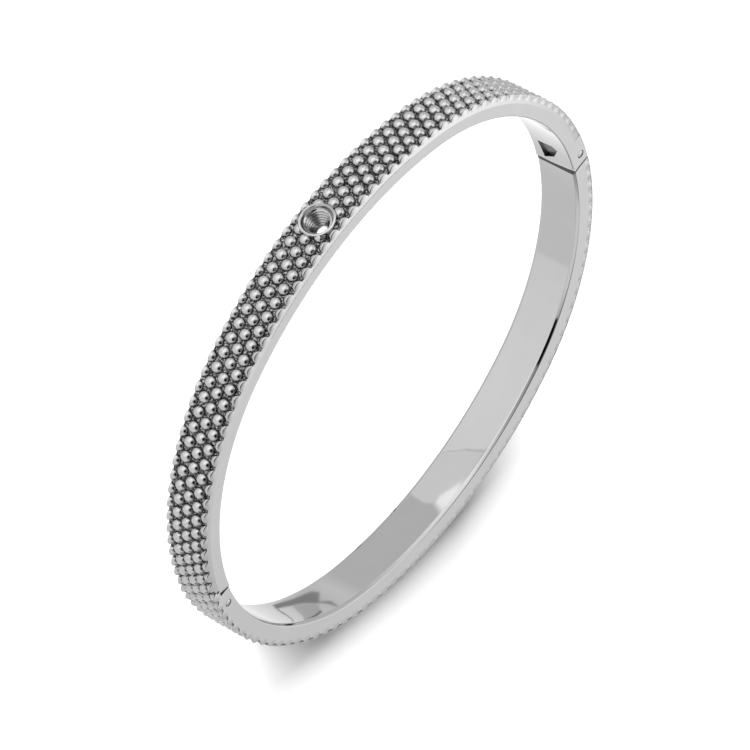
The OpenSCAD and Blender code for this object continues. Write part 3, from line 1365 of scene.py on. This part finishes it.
@dataclass
class Fittings:
    """The two pins with their eased ends, and the knuckle and the tongue, which stay as they are."""

    layout: Layout
    hinge_r: float = 0.44 * MM
    catch_r: float = 0.40 * MM
    ease: float = 0.05 * MM
    inset: float = 0.03 * MM
    ease_shade_level: float = 0.6

    def eased(self, _: Vector, normal: Vector) -> float:
        """Lays painted shade on the eased edges of a pin."""
        return self.ease_shade_level if 0.15 < abs(normal.z) < 0.97 else 0.0

    def build(self, nodes: dict[str, Piece]) -> None:
        """Builds the pins and dresses all four fittings.

        Args:
            nodes: the frame's objects by node.
        """
        lay = self.layout
        for name, place, radius, half in (
            ("hinge_pin", lay.hinge, self.hinge_r, Half.UPPER),
            ("catch_pin", lay.catch, self.catch_r, Half.LOWER),
        ):
            shape = peg(place, radius, self.inset, lay.band_w - self.inset, self.ease)
            pin = solid(f"{name}_steel", shape)
            paint_shade(pin.data, self.eased, "FACE")
            dressed(pin, PIN_STEEL, half, name, name)
        for name in ("hinge_knuckle", "clasp_tongue"):
            mesh = nodes[name].data
            mesh.materials.clear()
            mesh.materials.append(PIN_STEEL.material())


def direction(azimuth: float, elevation: float) -> Vector:
    """Gives the direction at an azimuth and an elevation, in degrees."""
    turn, rise = math.radians(azimuth), math.radians(elevation)
    return Vector((math.cos(rise) * math.cos(turn), math.cos(rise) * math.sin(turn), math.sin(rise)))


def hidden(item: Piece, *rays: str) -> None:
    """Hides an object from kinds of rays: camera, diffuse, glossy or shadow."""
    for ray in rays:
        setattr(item, f"visible_{ray}", False)


@dataclass(frozen=True)
class Card:
    """A soft round patch of light or shade in the surroundings, placed by its angles in degrees."""

    azimuth: float
    elevation: float
    inner: float
    outer: float
    level: float


@dataclass(frozen=True)
class Flag:
    """A flat shape under the floor, which only the polished inner wall mirrors."""

    name: str
    drop: float
    level: float
    outline: Profile
    soft: float = 0.0


@dataclass
class Studio:
    """The pale floor, the soft surroundings, the lamp and the camera."""

    layout: Layout
    floor_tone: float = 0.9
    floor_reach: float = 1.5
    metal_tone: float = 0.60
    base: float = 0.42
    shade: float = 0.31
    lamp_power: float = 41.0
    lamp_size: tuple = (1.07, 0.27)
    lamp_way: tuple = (79.5, 25.3)
    lamp_reach: float = 1.2
    gobo_depth: float = 0.8 * MM
    gobo_steps: int = 6
    gobo: Profile = (
        (-160, 0.0), (-148, 1.0), (-136, 6.3), (-124, 5.6), (-112, 5.4), (-100, 6.0), (-88, 6.7),
        (-76, 8.4), (-64, 0.1))
    cards: tuple[Card, ...] = (
        Card(175, -10, 40, 85, 0.54),
        Card(84, -8, 24, 62, 0.86),
        Card(120, 62, 24, 44, 0.05),
        Card(60, 88, 30, 44, 0.12),
        Card(305, 40, 1.3, 24.4, 0.90),
        Card(21, 43, 10, 24, 0.86),
        Card(232, 20, 12, 28, 0.20),
    )
    belt: Profile = (
        (0, 0.45), (12, 0.50), (22, 0.41), (64, 0.41), (68, 0.58), (92, 0.60), (125, 0.60),
        (170.6, 0.55), (171, 0.34), (171.5, 0.485), (221, 0.485), (245, 0.55), (272, 0.75), (283, 0.75),
        (289, 0.50), (293, 0.50), (302, 0.65), (322, 0.60), (342, 0.50), (360, 0.45),
    )
    belt_fade: tuple = (29, 11, 8)
    flags: tuple[Flag, ...] = (
        Flag("pane", 0.3, 0.55, (
            (-3.3, -24.9), (-2.6, -23.9), (-2.1, -22.8), (-1.2, -21.0), (0.1, -19.1), (0.8, -19.0),
            (3.0, -17.1), (3.8, -16.2), (5.5, -15.8), (5.1, -17.8), (4.7, -19.6), (3.3, -23.2),
            (2.5, -24.5)), 0.12),
        Flag("gleam", 0.3, 0.80, (
            (1.4, -15.9), (0.3, -18.9), (0.8, -19.0), (1.9, -18.2), (3.0, -17.1), (3.2, -16.2)), 0.35),
        Flag("rod", 0.3, 0.30, (
            (2.4, -24.4), (3.3, -23.2), (4.7, -19.6), (5.1, -17.8), (5.5, -15.8), (5.65, -15.8),
            (5.25, -17.8), (4.85, -19.6), (3.45, -23.1), (2.5, -24.4))),
        Flag("sliver", 0.3, 0.20, ((3.8, -16.1), (4.6, -15.8), (5.7, -15.5), (6.4, -14.4), (5.6, -15.2))),
        Flag("smear", 8.0, 0.19, (
            (-10.5, -22.9), (-6.5, -21.2), (-4.8, -20.1), (-3.2, -19.0), (-1.5, -18.5), (-0.9, -19.1),
            (-0.5, -19.8), (1.8, -18.6), (3.9, -18.7), (3.8, -19.1), (2.1, -19.0), (-0.3, -20.1),
            (-1.0, -20.5), (-3.5, -21.3), (-5.5, -22.2), (-9.4, -23.7)), 0.22),
        Flag("wire", 8.0, 0.17, (
            (-10.1, -23.4), (-8.9, -24.5), (-7.6, -25.4), (-6.5, -26.3), (-6.2, -27.0), (-6.9, -28.0),
            (-6.7, -28.1), (-5.9, -26.9), (-6.2, -26.1), (-7.3, -25.1), (-8.6, -24.2), (-9.8, -23.3))),
        Flag("wedge", 8.0, 0.35, (
            (-5.8, -22.4), (-4.9, -21.9), (-0.3, -20.4), (0.8, -21.8), (-0.1, -23.4), (-3.2, -26.2),
            (-2.6, -25.4), (-3.2, -24.5), (-4.3, -23.7)), 0.2),
        Flag("shade", 7.9, 0.10, (
            (0.3, -21.3), (1.0, -21.7), (-0.1, -23.6), (-3.0, -26.1), (-2.8, -25.6), (-0.5, -23.2),
            (0.2, -22.1))),
    )
    spot_place: tuple = (-0.040, 0.048, 0.048)
    spot_aim: tuple = (-0.018, 0.025, 0.003)
    spot_r: float = 0.019
    spot_thick: float = 0.2 * MM
    spot_tone: float = 0.005
    axis_x: tuple = (0.58232851, -0.25186062, 0.7729552)
    axis_y: tuple = (0.76140419, 0.50215661, -0.41000292)
    axis_z: tuple = (-0.28488097, 0.82728772, 0.48418784)
    distance: float = 0.5764
    lens: float = 264.5
    sensor: float = 36.0
    clip: tuple = (0.01, 20.0)
    shift: tuple = (-0.0133, -0.0172)

    def camera(self) -> None:
        """Places the camera at the photograph's angle."""
        data = bpy.data.cameras.new("camera")
        data.lens, data.sensor_width = self.lens, self.sensor
        data.shift_x, data.shift_y = self.shift
        data.clip_start, data.clip_end = self.clip
        item = placed("camera", data)
        turn = Matrix((self.axis_x, self.axis_y, self.axis_z)).transposed().to_4x4()
        middle = Vector((0, 0, self.layout.band_w / 2))
        item.matrix_world = Matrix.Translation(middle + Vector(self.axis_z) * self.distance) @ turn
        bpy.context.scene.camera = item

    def floor(self) -> None:
        """Lays the pale floor under the bangle."""
        shape = bmesh.new()
        corners = [Vector((x, y, 0)) * self.floor_reach for x, y in ((-1, -1), (1, -1), (1, 1), (-1, 1))]
        shape.faces.new([shape.verts.new(corner) for corner in corners])
        item = placed("floor", to_mesh("floor", shape, False))
        item.data.materials.append(surface("floor_paper", {"Base Color": grey(self.floor_tone), **MATTE}))
        hidden(item, "glossy")
        item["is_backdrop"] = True

    def surroundings(self) -> None:
        """Builds the soft surroundings: the cards on a plain level, and a low belt all round."""
        world = bpy.data.worlds.new("surroundings")
        bpy.context.scene.world = world
        world.use_nodes = True
        bench = Bench(world.node_tree)
        calc = bench.math
        way = bench.node("ShaderNodeTexCoord").outputs["Generated"]
        level: Any = self.base
        for card in self.cards:
            toward = tuple(direction(card.azimuth, card.elevation))
            angle = calc("ARCCOSINE", bench.vector("DOT_PRODUCT", way, toward))
            level = bench.mix(bench.fade(angle, card.outer, card.inner), level, card.level)
        part = bench.node("ShaderNodeSeparateXYZ", {0: way}).outputs
        turn = calc("DIVIDE", calc("ARCTAN2", part["Y"], part["X"]), FULL_TURN)
        ramp = bench.node("ShaderNodeValToRGB", {0: calc("FRACT", calc("ADD", turn, 1.0))})
        stops = ramp.color_ramp.elements
        for place, (azimuth, tone) in enumerate(self.belt):
            stop = stops[place] if place < 2 else stops.new(azimuth / 360)
            stop.position = azimuth / 360
            stop.color = grey(tone)
        drop, far, near = self.belt_fade
        off = calc("ABSOLUTE", calc("ADD", calc("ARCSINE", part["Z"]), math.radians(drop)))
        level = bench.mix(bench.fade(off, far, near), level, ramp.outputs["Color"])
        ray = bench.node("ShaderNodeLightPath").outputs
        mirrored = calc("MULTIPLY", level, 1.0 / self.metal_tone)
        chosen = bench.mix(
            ray["Is Glossy Ray"], bench.mix(ray["Is Camera Ray"], self.shade, 1.0), mirrored)
        world.node_tree.links.new(chosen, world.node_tree.nodes["Background"].inputs["Color"])

    def flag_mesh(self, flag: Flag) -> bpy.types.Mesh:
        """Builds a flag's mesh, whose mark "cover" runs out across its soft edge.

        Args:
            flag: the flag.

        Returns:
            The new mesh.
        """
        shape = bmesh.new()
        face = shape.faces.new([
            shape.verts.new(Vector((x, y, -flag.drop)) * MM) for x, y in flag.outline])
        face.normal_update()
        if flag.soft:
            bmesh.ops.inset_region(shape, faces=[face], thickness=flag.soft * MM, use_boundary=True)
        core = set(face.verts)
        for vertex in core:
            for outer in (edge.other_vert(vertex) for edge in vertex.link_edges):
                if outer not in core:
                    outer.co += outer.co - vertex.co
        shape.verts.index_update()
        inner = {vertex.index for vertex in core}
        bmesh.ops.triangulate(shape, faces=shape.faces[:])
        mesh = to_mesh(flag.name, shape, False)
        for index, mark in enumerate(mesh.attributes.new("cover", "FLOAT", "POINT").data):
            mark.value = 1.0 if index in inner else 0.0
        return mesh

    def hang_flags(self) -> None:
        """Lays the flat shapes that the inner wall mirrors."""
        for flag in self.flags:
            item = placed(flag.name, self.flag_mesh(flag))
            glow = surface(f"{flag.name}_card", {
                "Base Color": grey(0.0), "Specular IOR Level": 0.0, "Emission Color": grey(1.0),
                "Emission Strength": flag.level / self.metal_tone})
            tree = glow.node_tree
            cover = Bench(tree).node("ShaderNodeAttribute", attribute_name="cover").outputs["Fac"]
            tree.links.new(cover, tree.nodes["Principled BSDF"].inputs["Alpha"])
            item.data.materials.append(glow)
            hidden(item, "camera", "diffuse", "shadow")
            item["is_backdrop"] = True

    def black_spot(self) -> None:
        """Hangs the small black disc that the studs mirror, and that nothing else shows."""
        place = Vector(self.spot_place)
        aim = (place - Vector(self.spot_aim)).to_track_quat("Z", "Y").to_matrix().to_4x4()
        item = solid("black_disc", peg(Matrix.Translation(place) @ aim, self.spot_r, 0.0, self.spot_thick))
        item.data.materials.append(surface("black_cloth", {"Base Color": grey(self.spot_tone), **MATTE}))
        hidden(item, "camera", "diffuse", "shadow")
        item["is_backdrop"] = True

    def hang_gobo(self) -> None:
        """Stands the curved screen, hidden in the lower half, that throws the soft shadow."""
        shape = bmesh.new()
        columns = []
        for (turn, height), (next_turn, next_height) in zip(self.gobo, self.gobo[1:]):
            for k in range(self.gobo_steps):
                angle = math.radians(turn + (next_turn - turn) * k / self.gobo_steps)
                tall = height + (next_height - height) * k / self.gobo_steps
                columns.append([
                    shape.verts.new(self.layout.oval.point(angle, self.gobo_depth, z * MM))
                    for z in (0.0, tall)])
        for here, there in zip(columns, columns[1:]):
            shape.faces.new((here[0], there[0], there[1], here[1]))
        item = solid("gobo", shape)
        hidden(item, "camera", "glossy", "diffuse")
        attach(item, Half.LOWER.value)
        item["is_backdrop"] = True

    def lamp(self, silent: Sequence[Piece]) -> None:
        """Adds the low soft lamp, whose shadow the curved screen throws.

        Args:
            silent: the pieces that throw no shadow.
        """
        data = bpy.data.lights.new("soft_lamp", "AREA")
        data.shape = "RECTANGLE"
        data.size, data.size_y = self.lamp_size
        data.energy = self.lamp_power
        item = placed("soft_lamp", data)
        away = direction(*self.lamp_way)
        spin = away.to_track_quat("Z", "Y").to_matrix().to_4x4()
        item.matrix_world = Matrix.Translation(away * self.lamp_reach) @ spin
        hidden(item, "camera", "glossy")
        for piece in silent:
            hidden(piece, "shadow")

    def build(self) -> None:
        """Builds the studio, all but the lamp."""
        self.camera()
        self.floor()
        self.surroundings()
        self.black_spot()
        self.hang_flags()
        self.hang_gobo()
        bpy.context.scene.view_settings.view_transform = "Standard"


def box() -> list[list[float]]:
    """Gives the whole object's box as plain numbers."""
    return [list(corner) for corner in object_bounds()]


def main() -> None:
    """Builds the bangle and its studio, in order."""
    logging.basicConfig(level=logging.INFO, format="%(name)s %(message)s")
    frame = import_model()
    layout = Layout()
    studio = Studio(layout)
    studio.build()
    Bands(layout).build()
    Studding(layout).build()
    Seat(layout).build()
    Fittings(layout).build(frame["nodes"])
    dressing = ("_steel", "_ground", "_rows")
    studio.lamp([
        item for item in bpy.context.scene.objects
        if item.name.endswith(dressing) or item.name in frame["nodes"]])


if __name__ == "__main__":
    main()
